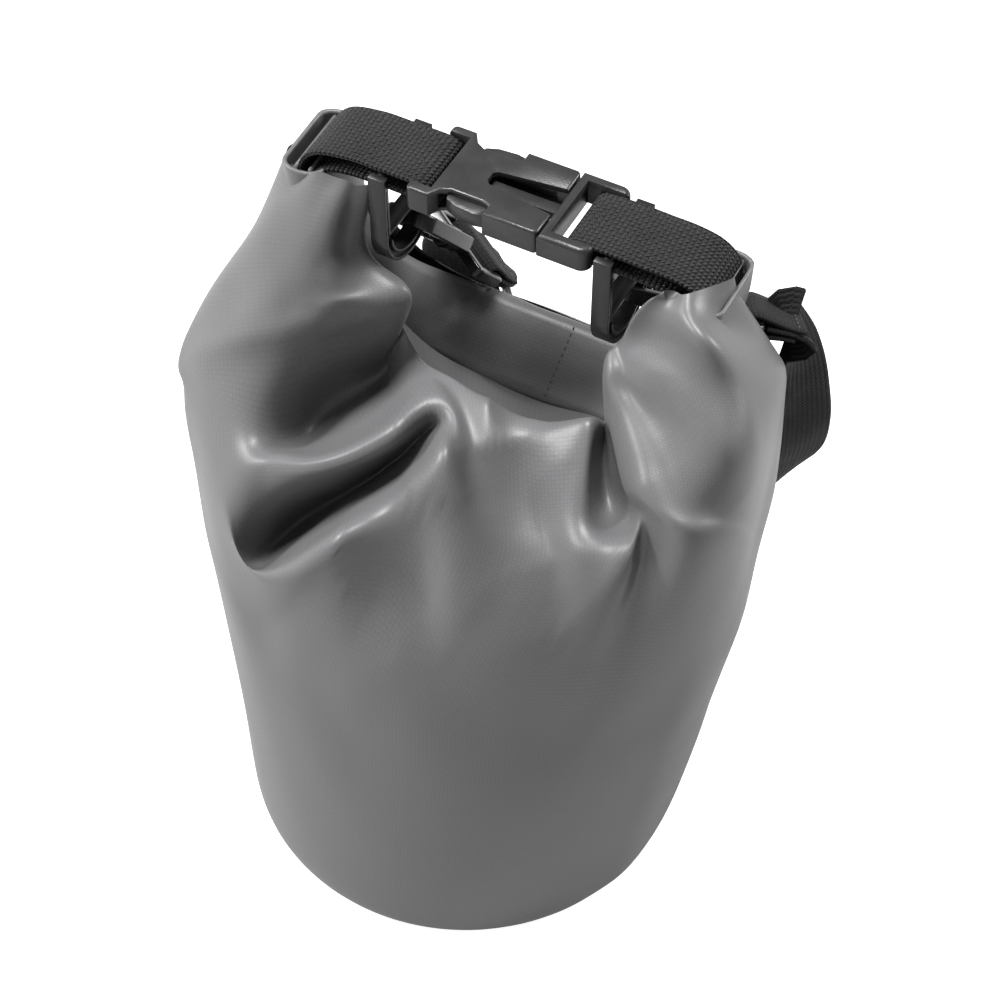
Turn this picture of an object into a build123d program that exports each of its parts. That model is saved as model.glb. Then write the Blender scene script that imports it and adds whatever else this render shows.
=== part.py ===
from build123d import *
import math
import os

os.makedirs("parts", exist_ok=True)

# A roll-top dry bag of about five litres, millimetres, +Z up.
# The origin is the middle of the flat base, +X runs along the closed buckle
# from its socket half to its plug half, and +Y points to the back of the bag.

# ---- bag ----
tubeGirth = 534.0          # once round the coated fabric tube
baseRadius = tubeGirth / math.pi / 2
fabricWall = 0.9           # wall of the bag as it is built here
baseThickness = 1.2
softGap = 0.4              # left between soft pieces that lie against each other

# the filled bag's cross sections: height, half width, half depth, shift in x and in y
bagSections = [
    (0.0, 77.0, 77.0, 0.0, 0.0),
    (4.0, 83.0, 83.0, 0.0, 0.0),
    (14.0, 86.0, 85.0, 0.2, 0.1),
    (60.0, 90.0, 80.5, 1.8, 1.0),
    (120.0, 97.0, 72.0, 4.2, 3.0),
    (160.0, 102.0, 66.0, 5.5, 6.0),
    (188.0, 107.0, 57.0, 7.0, 11.0),
    (203.0, 106.0, 42.0, 8.0, 20.0),
    (209.0, 98.0, 28.0, 9.0, 28.0),
]

# ---- rolled collar: a flat roll bent into a U above the bag ----
rollWidth = 30.0
rollThickness = 9.0
rollTop = 289.0
rollFloor = 214.5          # height of the roll's middle line at the bottom of the U
leftLeg = -59.5            # x of the roll's middle line in its two legs
rightLeg = 77.0
legBend = 30.0             # radius of the two bends of the U
rollMidY = 34.0            # y of the roll's middle line at the bottom of the U
leftLegY = (20.0, 24.0)    # and in each leg, at its top and where its bend starts
rightLegY = (17.0, 12.0)
stiffenerThickness = 1.0

# ---- closure webbing and buckle ----
closureY = 22.0
closureZ = 295.0
webbingWidth = 25.0
webbingThickness = 1.4
barThickness = 4.4         # plastic bars that webbing wraps round
webbingSlack = 0.15

socketStart = -22.0        # the buckle's socket half starts here along x
socketLength = 46.0
halfGap = 0.3              # between the two halves when closed
plugLength = 17.7
buckleWidth = 33.0
buckleThickness = 9.5
mouthWidth = 31.6
wingWidth = 22.0           # the socket's waist, where the side buttons show
waistStart, waistEnd = 10.5, 27.0
cavityWidth = 26.6
cavityHeight = 5.8
armHeight = 5.2
armPivotU, armPivotV = 42.0, 9.5
knuckleRadius = 2.0
knuckleClearance = 0.05
buttonReach = 15.3
buttonStart, buttonEnd = 12.5, 26.6
railWidth = 3.6
gripStart, gripEnd = 54.9, 59.6    # the toothed bar of the plug half, along the buckle
toothHeight = 1.0

# ---- rings, hooks and shoulder strap ----
ringX = (-33.0, 46.5)
ringWidth = 31.4
ringThickness = 6.0
ringTop = 296.9
ringCentreZ = 270.0        # middle of the ring's round end
ringLimb = 2.5
ringBarRadius = 1.9
crossBarHeight = 3.2
ringRecess = 1.4

strapWidth = 25.0
strapThickness = 1.6
noseDepth = 4.4
hookInner = 6.5            # half width of the hook's opening
hookLimb = 3.4
hookThickness = 5.6
noseInside = -4.4
noseTip = 6.2
gateStart = 6.6
blockStart, blockEnd = 19.0, 25.0
gateGap = 1.5
gateDrop = 1.3              # room under the gate's tail as it opens
gatePivotS = 21.0
swivelRadius = 2.5
swivelClearance = 0.06
frameStart, frameEnd = 25.5, 41.5
frameBar = 3.4
frameHalf = 16.4
frameThickness = 4.2
gatePinRadius = 0.8

# where each hook takes hold of its ring, the way it pulls, its thickness direction,
# and how far its strap frame is turned on the swivel, in degrees
hookSeats = {
    "left": ((-33.0, 30.2, 259.1), (0.22, 0.60, -0.77), (0.0, 0.79, 0.61), 30.0),
    "right": ((46.5, 33.5, 262.3), (0.91, 0.36, -0.208), (0.0, 0.50, 0.866), 0.0),
}

# middle line of the strap between its two sewn ends, right to left, with its width direction
strapMiddle = [
    ((97.5, 53.5, 247.0), (-0.34, 0.88, -0.35)),
    ((103.5, 58.5, 232.0), (-0.22, 0.96, -0.15)),
    ((106.5, 65.0, 208.0), (-0.10, 0.99, 0.05)),
    ((105.0, 73.0, 182.0), (-0.02, 0.98, 0.18)),
    ((99.0, 84.0, 152.0), (0.0, 0.97, 0.22)),
    ((87.0, 95.0, 121.0), (0.0, 0.98, 0.18)),
    ((67.0, 103.0, 95.0), (0.0, 1.0, 0.08)),
    ((40.0, 107.5, 80.0), (0.0, 1.0, 0.0)),
    ((11.0, 108.5, 75.0), (0.0, 1.0, 0.0)),
    ((-15.0, 108.0, 80.5), (0.1, 0.99, 0.0)),
    ((-33.5, 106.0, 95.0), (0.35, 0.93, 0.1)),
    ((-45.0, 101.0, 118.0), (0.80, 0.60, 0.0)),
    ((-48.0, 95.5, 148.0), (0.80, 0.60, 0.0)),
    ((-51.0, 90.0, 178.0), (0.80, 0.60, 0.0)),
    ((-47.5, 82.5, 197.0), (0.90, 0.42, -0.05)),
    ((-37.5, 75.5, 209.0), (0.95, 0.10, -0.20)),
    ((-27.0, 69.0, 214.5), (0.90, -0.30, -0.20)),
]
strapLead = 9.0            # straight strap between each sewn end and the middle stretch
sliderAt = 12              # the point of the strap's middle stretch that the slider sits on
sliderLength = 22.0
sliderHalf = 16.5
sliderBar = 3.0
sliderDepth = 2.1


def box_between(x0, x1, y0, y1, z0, z1):
    middle = Pos((x0 + x1) / 2, (y0 + y1) / 2, (z0 + z1) / 2)
    return middle * Box(abs(x1 - x0), abs(y1 - y0), abs(z1 - z0))


def save(node, shape):
    export_step(shape, f"parts/{node}.step")


# ---- bag ----

def bag_loft(inset, low, high):
    """The filled bag between two heights, drawn in by the inset."""
    faces = []
    for height, wide, deep, dx, dy in bagSections:
        z = min(max(height, low), high)
        faces.append(Pos(dx, dy, z) * Ellipse(wide - inset, deep - inset))
    return loft(Sketch() + faces)


def body_tube():
    top = bagSections[-1][0]
    outer = bag_loft(0, baseThickness + softGap, top)
    inner = bag_loft(fabricWall, baseThickness + softGap + fabricWall, top - fabricWall)
    return outer - inner


def base_disc():
    return Pos(0, 0, baseThickness / 2) * Cylinder(bagSections[0][1] - 0.5, baseThickness)


# ---- rolled collar ----

def roll_path():
    """Points of the roll's middle line with its direction, left end to right end."""
    floorCentre = rollFloor + legBend
    legs = []
    for x, way, (topY, bendY) in ((leftLeg, 1, leftLegY), (rightLeg, -1, rightLegY)):
        leg = []
        for z in (rollTop, 275.0, 260.0, floorCentre):
            down = (rollTop - z) / (rollTop - floorCentre)
            leg.append((Vector(x, topY + (bendY - topY) * down, z), math.radians(-90 * way)))
        for turn in (22.5, 45, 67.5, 90):
            a = math.radians(turn)
            y = bendY + (rollMidY - bendY) * math.sin(a)
            bend = Vector(x + way * legBend * (1 - math.cos(a)), y, floorCentre - legBend * math.sin(a))
            leg.append((bend, way * math.radians(turn - 90)))
        legs.append(leg)
    return legs[0] + legs[1][::-1]


def roll_span(first, last, thickness, width):
    """A stretch of the roll as a closed flat bar."""
    wires = []
    for point, angle in roll_path()[first:last]:
        across = Vector(-math.sin(angle), 0, math.cos(angle)) * (thickness / 2)
        side = Vector(0, width / 2, 0)
        corners = [point + across + side, point + across - side]
        corners += [point - across - side, point - across + side]
        wires.append(Wire.make_polygon(corners, close=True))
    return Solid.make_loft(wires, ruled=True)


def rolled_collar():
    span = roll_span(3, 13, rollThickness, rollWidth)
    return span - roll_span(3, 13, stiffenerThickness + 0.2, rollWidth - 5)


def collar_stiffener():
    return roll_span(3, 13, stiffenerThickness, rollWidth - 6)


def shoulder(outline, depthTop, depthFoot):
    """Gathered fabric that runs from the bag's shoulder up to one end of the roll."""
    low = min(z for _, z in outline)
    high = max(z for _, z in outline)
    slab = extrude(Plane.XZ * make_face(Polyline(*outline, close=True)), 200, both=True)
    wires = []
    for z, (y0, y1) in ((low, depthFoot), (high, depthTop)):
        corners = [(-200, y0, z), (200, y0, z), (200, y1, z), (-200, y1, z)]
        wires.append(Wire.make_polygon([Vector(*c) for c in corners], close=True))
    return slab & Solid.make_loft(wires, ruled=True)


def roll_end_left():
    gap = leftLeg - rollThickness / 2 - softGap
    foot = bagSections[-1][0] + softGap
    fabric = shoulder(
        [(gap, rollTop), (gap, 232), (-62, foot), (-110, foot), (-92, 250), (-70, 284)],
        (6, 34), (-4, 46),
    )
    return fabric, roll_span(0, 4, rollThickness, rollWidth)


def roll_end_right():
    gap = rightLeg + rollThickness / 2 + softGap
    foot = bagSections[-1][0] + softGap
    fabric = shoulder(
        [(gap, rollTop), (gap + 3, 283), (100, 252), (105, 238), (103, foot), (79, foot), (gap, 236)],
        (6, 22), (-4, 40),
    )
    return fabric, roll_span(12, 16, rollThickness, rollWidth)


# ---- closure ----

def webbing_loop(x0, x1):
    """Webbing doubled round a bar, its two layers sewn down the roll's end."""
    half = barThickness / 2 + webbingSlack
    outer = half + webbingThickness
    low, high = closureY - webbingWidth / 2, closureY + webbingWidth / 2
    ring = box_between(x0, x1, low, high, closureZ - outer, closureZ + outer)
    ring -= box_between(x0 + webbingThickness, x1 - webbingThickness, low - 1, high + 1,
                        closureZ - half, closureZ + half)
    ring = fillet(ring.edges().filter_by(Axis.Y).group_by(Axis.X)[0], 1.2)
    return ring


def webbing_left():
    end = socketStart + 3.5 + webbingSlack + webbingThickness
    return webbing_loop(leftLeg + rollThickness / 2 - 1.5, end)


def webbing_right():
    start = socketStart + gripStart - webbingSlack - webbingThickness
    return webbing_loop(start, rightLeg - rollThickness / 2 + 1.5)


def buckle_frame():
    """Local frame of the buckle: u along it from the socket's end, v across it."""
    return Pos(socketStart, closureY, closureZ)


def buckle_socket():
    half = buckleWidth / 2
    mouth = mouthWidth / 2
    waist = wingWidth / 2
    # half of the outline, from the webbing end to the mouth
    upper = [(0, half), (8.0, half), (waistStart, waist + 1.6), (waistStart + 3, waist)]
    upper += [(waistEnd - 2.5, waist), (waistEnd, waist + 0.6), (waistEnd, mouth), (socketLength, mouth)]
    lower = [(u, -v) for u, v in reversed(upper)]
    plate = extrude(make_face(Polyline(*(upper + lower), close=True)), buckleThickness / 2, both=True)
    ends = plate.edges().filter_by(Axis.Z).group_by(Axis.X)
    plate = fillet(ends[0] + ends[-1], 1.8)
    rims = plate.faces().filter_by(Axis.Z)
    plate = fillet([e for f in rims for e in f.edges()], 1.0)
    plate -= box_between(9.5, socketLength + 1, -cavityWidth / 2, cavityWidth / 2,
                         -cavityHeight / 2, cavityHeight / 2)
    # the slot behind the webbing bar, and the bar itself
    plate -= box_between(3.5, 7.6, -13, 13, -9, 9)
    for side in (1, -1):
        plate -= box_between(-1, 3.5, -13, 13, side * barThickness / 2, side * 9)
    # the waist is open at its two sides, where the buttons stand out
    for side in (1, -1):
        plate -= box_between(waistStart + 0.5, waistEnd, side * 9, side * 20,
                             -cavityHeight / 2, cavityHeight / 2)
    # window in the upper and lower face, widening to the mouth
    window = [(21.5, 1.8), (23.0, 3.2), (socketLength + 2, 6.6)]
    window += [(u, -v) for u, v in reversed(window)]
    plate -= extrude(make_face(Polyline(*window, close=True)), 20, both=True)
    return buckle_frame() * plate


def buckle_plug_base():
    start = socketLength + halfGap
    end = start + plugLength
    half = buckleWidth / 2
    block = box_between(start, end, -half, half, -buckleThickness / 2, buckleThickness / 2)
    corners = block.edges().filter_by(Axis.Z)
    block = fillet(corners.group_by(Axis.X)[-1], 4.0)
    rims = block.faces().filter_by(Axis.Z)
    block = fillet([e for f in rims for e in f.edges()], 1.6)
    inner = half - railWidth
    for u0, u1 in ((start + 3.2, gripStart + toothHeight), (gripEnd, end - 3.0)):
        block -= box_between(u0, u1, -inner, inner, -9, 9)
    for side in (1, -1):
        block -= box_between(gripStart - 0.9, end + 1, -inner, inner, side * barThickness / 2, side * 9)
    # teeth on the gripping bar
    for k in range(6):
        v = -10.0 + 4.0 * k
        block += box_between(gripStart, gripStart + toothHeight, v - 1.1, v + 1.1,
                             -barThickness / 2, barThickness / 2)
    # stubs that carry the two arms, each with a round seat
    for side in (1, -1):
        v = side * armPivotV
        stub = box_between(armPivotU, start + 0.5, v - 2.6, v + 2.6, -armHeight / 2, armHeight / 2)
        stub -= Pos(armPivotU, v, 0) * Cylinder(knuckleRadius + knuckleClearance, 20)
        block += stub
    # guide tongue between the arms
    tongue = box_between(22.0, start + 0.5, -2.2, 2.2, -1.4, 1.4)
    block += tongue
    return buckle_frame() * block


def buckle_arm(side):
    beam = [(armPivotU, 1.5), (armPivotU, -1.5), (27, -1.5), (buttonStart + 2.5, -0.9), (buttonStart, 1.2)]
    beam += [(buttonStart + 0.6, 3.6), (buttonStart + 4.5, 5.2), (buttonEnd - 3, buttonReach - armPivotV)]
    beam += [(buttonEnd, buttonReach - armPivotV - 0.6), (buttonEnd, 1.9), (buttonEnd + 2.5, 1.5)]
    outline = [(u, side * (armPivotV + v)) for u, v in beam]
    arm = extrude(make_face(Polyline(*outline, close=True)), armHeight / 2, both=True)
    arm += Pos(armPivotU, side * armPivotV, 0) * Cylinder(knuckleRadius, armHeight)
    return buckle_frame() * arm


# ---- rings and hooks ----

def d_outline(halfWidth, top, centre):
    """Outline with a flat top and a round lower end, in y and z about the ring's middle."""
    round_end = Pos(0, centre) * Circle(halfWidth)
    return round_end + Pos(0, (top + centre) / 2) * Rectangle(2 * halfWidth, top - centre)


def ring_sketch(inset):
    half = ringWidth / 2
    sketch = d_outline(half - inset, ringTop - inset, ringCentreZ)
    slotTop = ringTop - 2 * ringBarRadius
    crossTop = ringCentreZ + crossBarHeight
    slot = Pos(0, (slotTop + inset + crossTop - inset) / 2) * Rectangle(
        2 * (half - ringLimb + inset), slotTop - crossTop + 2 * inset)
    eye = Pos(0, ringCentreZ) * Circle(half - 3.8 + inset)
    eye -= Pos(0, ringCentreZ + 25 - inset) * Rectangle(60, 50)
    return sketch - slot - eye


def d_ring(x):
    side = Plane(origin=(x, closureY, 0), x_dir=(0, 1, 0), z_dir=(1, 0, 0))
    ring = extrude(side * ring_sketch(0), ringThickness / 2, both=True)
    for way in (1, -1):
        face = Plane(origin=(x + way * (ringThickness / 2 - ringRecess), closureY, 0),
                     x_dir=(0, 1, 0), z_dir=(1, 0, 0))
        recess = extrude(face * ring_sketch(1.0), way * ringRecess)
        below = box_between(x - 9, x + 9, closureY - 40, closureY + 40, 200, ringTop - 4.6)
        ring -= recess & below
    # the bar inside the webbing is round
    span = ringWidth / 2 - ringLimb
    block = box_between(x - 9, x + 9, closureY - span, closureY + span,
                        ringTop - 2 * ringBarRadius, ringTop + 1)
    bar = Pos(x, closureY, ringTop - ringBarRadius) * Rot(90, 0, 0) * Cylinder(ringBarRadius, 2 * span + 1)
    return ring - block + bar


def hook_plane(name, turned=False):
    """Frame of a hook: x the way it pulls, z its thickness, the swivel's turn added."""
    seat, pull, flat, swivel = hookSeats[name]
    plane = Plane(origin=seat, x_dir=pull, z_dir=flat)
    return plane.location * Rot(swivel if turned else 0, 0, 0)


def hook(name):
    outer = hookInner + hookLimb
    half = hookThickness / 2
    nose = noseInside - noseDepth
    body = box_between(nose, blockEnd, -outer, outer, -half, half)
    ends = body.edges().filter_by(Axis.Z).group_by(Axis.X)
    body = fillet(ends[0], 6.5)
    body = chamfer(body.edges().filter_by(Axis.Z).group_by(Axis.X)[-1], 3.2)
    opening = box_between(noseInside, blockStart, -hookInner, hookInner, -9, 9)
    opening = fillet(opening.edges().filter_by(Axis.Z).group_by(Axis.X)[0], 3.4)
    body -= opening
    body -= box_between(noseTip, blockStart, hookInner - 1, outer + 1, -9, 9)
    rims = body.faces().filter_by(Axis.Z)
    body = fillet([e for f in rims for e in f.edges()], 0.8)
    body += Pos((blockStart + blockEnd) / 2, 0, 0) * Rot(0, 90, 0) * Cylinder(4.3, blockEnd - blockStart)
    bore = Cylinder(swivelRadius + swivelClearance, blockEnd - blockStart + 4)
    body -= Pos((blockStart + blockEnd) / 2, 0, 0) * Rot(0, 90, 0) * bore
    # slot and cross hole for the gate
    body -= box_between(blockStart - 1, gatePivotS + 2.2, hookInner - gateDrop, outer + 1, -1.8, 1.8)
    body -= Pos(gatePivotS, hookInner + hookLimb / 2, 0) * Cylinder(gatePinRadius, 20)
    return hook_plane(name) * body


def gate(name):
    mid = hookInner + hookLimb / 2
    lever = box_between(gateStart, blockStart - gateGap, hookInner, hookInner + hookLimb, -2.6, 2.6)
    lever = fillet(lever.edges().filter_by(Axis.X), 0.9)
    lever += box_between(blockStart - 2, gatePivotS, mid - 1.5, mid + 1.5, -1.5, 1.5)
    lever += Pos(gatePivotS, mid, 0) * Cylinder(1.6, 3.0)
    lever -= Pos(gatePivotS, mid, 0) * Cylinder(gatePinRadius + 0.05, 20)
    return hook_plane(name) * lever


def gate_pin(name):
    mid = hookInner + hookLimb / 2
    return hook_plane(name) * Pos(gatePivotS, mid, 0) * Cylinder(gatePinRadius, hookThickness - 0.2)


def swivel_frame(name):
    half = frameThickness / 2
    frame = box_between(frameStart, frameEnd, -frameHalf, frameHalf, -half, half)
    frame = fillet(frame.edges().filter_by(Axis.Z), 2.2)
    frame -= box_between(frameStart + frameBar, frameEnd - frameBar, -13.2, 13.2, -9, 9)
    rims = frame.faces().filter_by(Axis.Z)
    frame = fillet([e for f in rims for e in f.edges()], 0.7)
    shank = frameStart - blockStart + 3.4
    frame += Pos(frameStart - shank / 2 + 0.5, 0, 0) * Rot(0, 90, 0) * Cylinder(swivelRadius, shank + 1)
    frame += Pos(blockStart - 1.6, 0, 0) * Rot(0, 90, 0) * Cylinder(3.7, 2.4)
    return hook_plane(name, True) * frame


def strap_loop(name):
    """The strap's end, folded round the frame's outer bar and sewn."""
    back = frameEnd - frameBar - 0.3
    front = frameEnd + 0.3
    high = frameThickness / 2 + 0.3
    wall = strapThickness
    low = -strapWidth / 2
    outer = box_between(back - wall, front + wall, low, -low, -high - wall, high + wall)
    outer = fillet(outer.edges().filter_by(Axis.Y), 1.6)
    outer -= box_between(back, front, low - 1, 1 - low, -high, high)
    return hook_plane(name, True) * outer


# ---- shoulder strap ----

def ribbon(route, width, thickness, offset=0.0):
    """A flat strap through the route's points, thick along its own normal."""
    wires = []
    points = [Vector(*p) for p, _ in route]
    for k, (_, side) in enumerate(route):
        ahead = points[min(k + 1, len(points) - 1)] - points[max(k - 1, 0)]
        along = ahead.normalized()
        across = Vector(*side)
        across = (across - along * across.dot(along)).normalized()
        normal = along.cross(across)
        centre = points[k] + normal * offset
        w, t = across * (width / 2), normal * (thickness / 2)
        corners = [centre + w + t, centre - w + t, centre - w - t, centre + w - t]
        wires.append(Wire.make_polygon(corners, close=True))
    return Solid.make_loft(wires, ruled=True)


def strap_end(name, way):
    """Two points of the strap just past a sewn end, with the frame's width direction."""
    place = hook_plane(name, True)
    start = frameEnd + 0.3 + strapThickness + softGap
    at = [(place * Pos(start + d, 0, 0)).position for d in (0, strapLead)]
    side = (place * Pos(0, way, 0)).position - place.position
    return [(tuple(p), tuple(side)) for p in at]


def shoulder_strap():
    route = strap_end("right", 1) + strapMiddle + strap_end("left", -1)[::-1]
    return ribbon(route, strapWidth, strapThickness)


def slider_plane():
    here, side = strapMiddle[sliderAt]
    ahead = Vector(*strapMiddle[sliderAt + 1][0]) - Vector(*strapMiddle[sliderAt - 1][0])
    along = ahead.normalized()
    across = Vector(*side)
    across = (across - along * across.dot(along)).normalized()
    return Plane(origin=here, x_dir=along, z_dir=along.cross(across))


def strap_slider():
    long, deep = sliderLength / 2, sliderDepth + 1.6
    rails = box_between(-long, long, -sliderHalf, sliderHalf, -deep, deep)
    rails = fillet(rails.edges().filter_by(Axis.Z), 2.4)
    rails -= box_between(-long - 1, long + 1, -13.4, 13.4, -deep - 1, deep + 1)
    # the strap runs flat between the raised middle bar and the two end bars
    body = rails + box_between(-sliderBar / 2, sliderBar / 2, -14, 14, sliderDepth, deep)
    for end in (1, -1):
        edge = end * long
        low, high = sorted((edge, edge - end * sliderBar))
        body += box_between(low, high, -14, 14, -deep, -sliderDepth)
    return slider_plane().location * body


def main():
    save("body_tube", body_tube())
    save("base_disc", base_disc())
    save("rolled_collar", rolled_collar())
    save("collar_stiffener", collar_stiffener())
    fabric, roll = roll_end_left()
    save("shoulder_left", fabric)
    save("roll_end_left", roll)
    fabric, roll = roll_end_right()
    save("shoulder_right", fabric)
    save("roll_end_right", roll)
    save("webbing_left", webbing_left())
    save("webbing_right", webbing_right())
    save("buckle_socket", buckle_socket())
    save("buckle_plug_base", buckle_plug_base())
    save("buckle_arm_front", buckle_arm(-1))
    save("buckle_arm_rear", buckle_arm(1))
    for name, x in zip(("left", "right"), ringX):
        save(f"d_ring_{name}", d_ring(x))
        save(f"hook_{name}", hook(name))
        save(f"gate_{name}", gate(name))
        save(f"gate_pin_{name}", gate_pin(name))
        save(f"swivel_frame_{name}", swivel_frame(name))
        save(f"strap_loop_{name}", strap_loop(name))
    save("shoulder_strap", shoulder_strap())
    save("strap_slider", strap_slider())


main()
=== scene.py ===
import math

import bpy
import numpy as np
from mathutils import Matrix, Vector


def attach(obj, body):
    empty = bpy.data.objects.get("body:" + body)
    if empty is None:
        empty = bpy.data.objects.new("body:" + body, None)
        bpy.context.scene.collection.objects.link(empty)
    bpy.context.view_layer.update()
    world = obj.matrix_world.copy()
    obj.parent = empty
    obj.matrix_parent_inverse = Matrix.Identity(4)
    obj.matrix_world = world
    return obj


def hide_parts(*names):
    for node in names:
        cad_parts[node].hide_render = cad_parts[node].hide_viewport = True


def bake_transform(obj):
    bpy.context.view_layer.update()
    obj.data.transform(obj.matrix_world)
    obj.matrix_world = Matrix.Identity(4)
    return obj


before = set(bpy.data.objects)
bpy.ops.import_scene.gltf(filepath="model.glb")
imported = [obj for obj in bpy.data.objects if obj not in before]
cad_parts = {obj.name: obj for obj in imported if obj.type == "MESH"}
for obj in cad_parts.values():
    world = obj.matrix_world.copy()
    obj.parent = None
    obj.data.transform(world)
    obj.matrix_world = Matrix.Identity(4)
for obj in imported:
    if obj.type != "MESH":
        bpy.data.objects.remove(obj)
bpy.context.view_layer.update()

milli = 0.001


# small helpers for meshes and node trees

def newObject(name, mesh):
    made = bpy.data.objects.new(name, mesh)
    bpy.context.scene.collection.objects.link(made)
    return made


def meshFrom(name, points, faces, uvs=None, smooth=True):
    mesh = bpy.data.meshes.new(name)
    mesh.from_pydata([tuple(p) for p in points], [], faces)
    if uvs is not None:
        layer = mesh.uv_layers.new(name="cloth")
        flat = [value for face in uvs for corner in face for value in corner]
        layer.data.foreach_set("uv", flat)
    mesh.polygons.foreach_set("use_smooth", [smooth] * len(mesh.polygons))
    mesh.update()
    return mesh


def applied(obj):
    graph = bpy.context.evaluated_depsgraph_get()
    mesh = bpy.data.meshes.new_from_object(obj.evaluated_get(graph), depsgraph=graph)
    obj.modifiers.clear()
    obj.data = mesh
    return obj


def smoothRoute(points, steps):
    # even curve through the given rows of numbers
    rows = [np.array(p, float) for p in points]
    rows = [2 * rows[0] - rows[1]] + rows + [2 * rows[-1] - rows[-2]]
    made = []
    for k in range(1, len(rows) - 2):
        a, b, c, d = rows[k - 1:k + 3]
        for step in range(steps):
            t = step / steps
            made.append(0.5 * (2 * b + (c - a) * t + (2 * a - 5 * b + 4 * c - d) * t ** 2
                               + (3 * b - a - 3 * c + d) * t ** 3))
    made.append(rows[-2])
    return np.array(made)


def unit(v):
    return v / max(np.linalg.norm(v), 1e-12)


def axesAt(centres, sides, k):
    # along the way, across it and out of it, at one point
    along = unit(centres[min(k + 1, len(centres) - 1)] - centres[max(k - 1, 0)])
    across = unit(sides[k] - along * (sides[k] @ along))
    return along, across, np.cross(along, across)


def sweep(name, centres, sides, section, scale=None):
    # section rows are (across, out) in metres; sides give the across direction along the way
    count, ring = len(centres), len(section)
    points, lengths, run = [], [], 0.0
    for k in range(count):
        along, across, out = axesAt(centres, sides, k)
        if k:
            run += np.linalg.norm(centres[k] - centres[k - 1])
        lengths.append(run)
        grow = (1, 1) if scale is None else scale[k]
        points += [centres[k] + across * a * grow[0] + out * b * grow[1] for a, b in section]
    girth = [0.0]
    for k in range(ring):
        girth.append(girth[-1] + math.dist(section[k], section[(k + 1) % ring]))
    faces, uvs = [], []
    for k in range(count - 1):
        here, far = lengths[k], lengths[k + 1]
        for j in range(ring):
            i = (j + 1) % ring
            faces.append((k * ring + j, k * ring + i, (k + 1) * ring + i, (k + 1) * ring + j))
            uvs.append(((here, girth[j]), (here, girth[j + 1]), (far, girth[j + 1]), (far, girth[j])))
    faces.append(tuple(range(ring))[::-1])
    faces.append(tuple(range((count - 1) * ring, count * ring)))
    uvs += [[(0, 0)] * ring, [(run, 0)] * ring]
    return meshFrom(name, points, faces, uvs)


def flatSection(width, thickness, corners=4):
    # rounded strip, counted anticlockwise
    r, w, t = thickness / 2, width / 2, thickness / 2
    made = []
    for cx, start in ((w - r, -90), (-(w - r), 90)):
        for k in range(corners + 1):
            angle = math.radians(start + 180 * k / corners)
            made.append((cx + r * math.cos(angle), r * math.sin(angle)))
    fine = []
    for k, here in enumerate(made):
        nxt = made[(k + 1) % len(made)]
        pieces = max(1, int(math.dist(here, nxt) / (width / 6)))
        dx, dy = nxt[0] - here[0], nxt[1] - here[1]
        fine += [(here[0] + dx * j / pieces, here[1] + dy * j / pieces) for j in range(pieces)]
    return fine


def newGroup(name, inputs, outputs):
    tree = bpy.data.node_groups.new(name, "ShaderNodeTree")
    for label, kind, value in inputs:
        socket = tree.interface.new_socket(label, in_out="INPUT", socket_type=kind)
        if value is not None:
            socket.default_value = value
    for label in outputs:
        tree.interface.new_socket(label, in_out="OUTPUT", socket_type="NodeSocketFloat")
    return tree, tree.nodes.new("NodeGroupInput"), tree.nodes.new("NodeGroupOutput")


def calc(tree, operation, *values):
    node = tree.nodes.new("ShaderNodeMath")
    node.operation = operation
    for k, value in enumerate(values):
        if isinstance(value, (int, float)):
            node.inputs[k].default_value = value
        else:
            tree.links.new(value, node.inputs[k])
    return node.outputs[0]


def weaveGroup():
    # over and under threads; the vector is in metres along the cloth
    tree, inside, outside = newGroup("threadWeave", [
        ("Vector", "NodeSocketVector", None), ("Threads along", "NodeSocketFloat", 800.0),
        ("Threads across", "NodeSocketFloat", 800.0), ("Roundness", "NodeSocketFloat", 0.6)],
        ["Height", "Gap"])
    split = tree.nodes.new("ShaderNodeSeparateXYZ")
    tree.links.new(inside.outputs["Vector"], split.inputs[0])
    u = calc(tree, "MULTIPLY", split.outputs["X"], inside.outputs["Threads along"])
    v = calc(tree, "MULTIPLY", split.outputs["Y"], inside.outputs["Threads across"])
    cell = calc(tree, "ADD", calc(tree, "FLOOR", u), calc(tree, "FLOOR", v))
    odd = calc(tree, "ABSOLUTE", calc(tree, "SUBTRACT", cell, calc(
        tree, "MULTIPLY", calc(tree, "FLOOR", calc(tree, "MULTIPLY", cell, 0.5)), 2.0)))
    waves = [calc(tree, "SINE", calc(tree, "MULTIPLY", w, math.pi)) for w in (u, v)]
    rise = [calc(tree, "POWER", calc(tree, "ABSOLUTE", w), inside.outputs["Roundness"]) for w in waves]
    first = calc(tree, "MULTIPLY", rise[0], calc(tree, "ADD", calc(tree, "MULTIPLY", odd, 0.35), 0.65))
    height = calc(tree, "MULTIPLY", first, rise[1])
    tree.links.new(height, outside.inputs["Height"])
    tree.links.new(calc(tree, "SUBTRACT", 1.0, height), outside.inputs["Gap"])
    return tree


def grainGroup():
    # fine moulded grain and wide soft patches
    tree, inside, outside = newGroup("surfaceGrain", [
        ("Vector", "NodeSocketVector", None), ("Grain scale", "NodeSocketFloat", 900.0),
        ("Patch scale", "NodeSocketFloat", 30.0)], ["Grain", "Patches"])
    for label, size, detail in (("Grain", "Grain scale", 3.0), ("Patches", "Patch scale", 4.0)):
        noise = tree.nodes.new("ShaderNodeTexNoise")
        noise.inputs["Detail"].default_value = detail
        tree.links.new(inside.outputs["Vector"], noise.inputs["Vector"])
        tree.links.new(inside.outputs[size], noise.inputs["Scale"])
        tree.links.new(noise.outputs["Fac"], outside.inputs[label])
    return tree


threadWeave = weaveGroup()
surfaceGrain = grainGroup()


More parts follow.
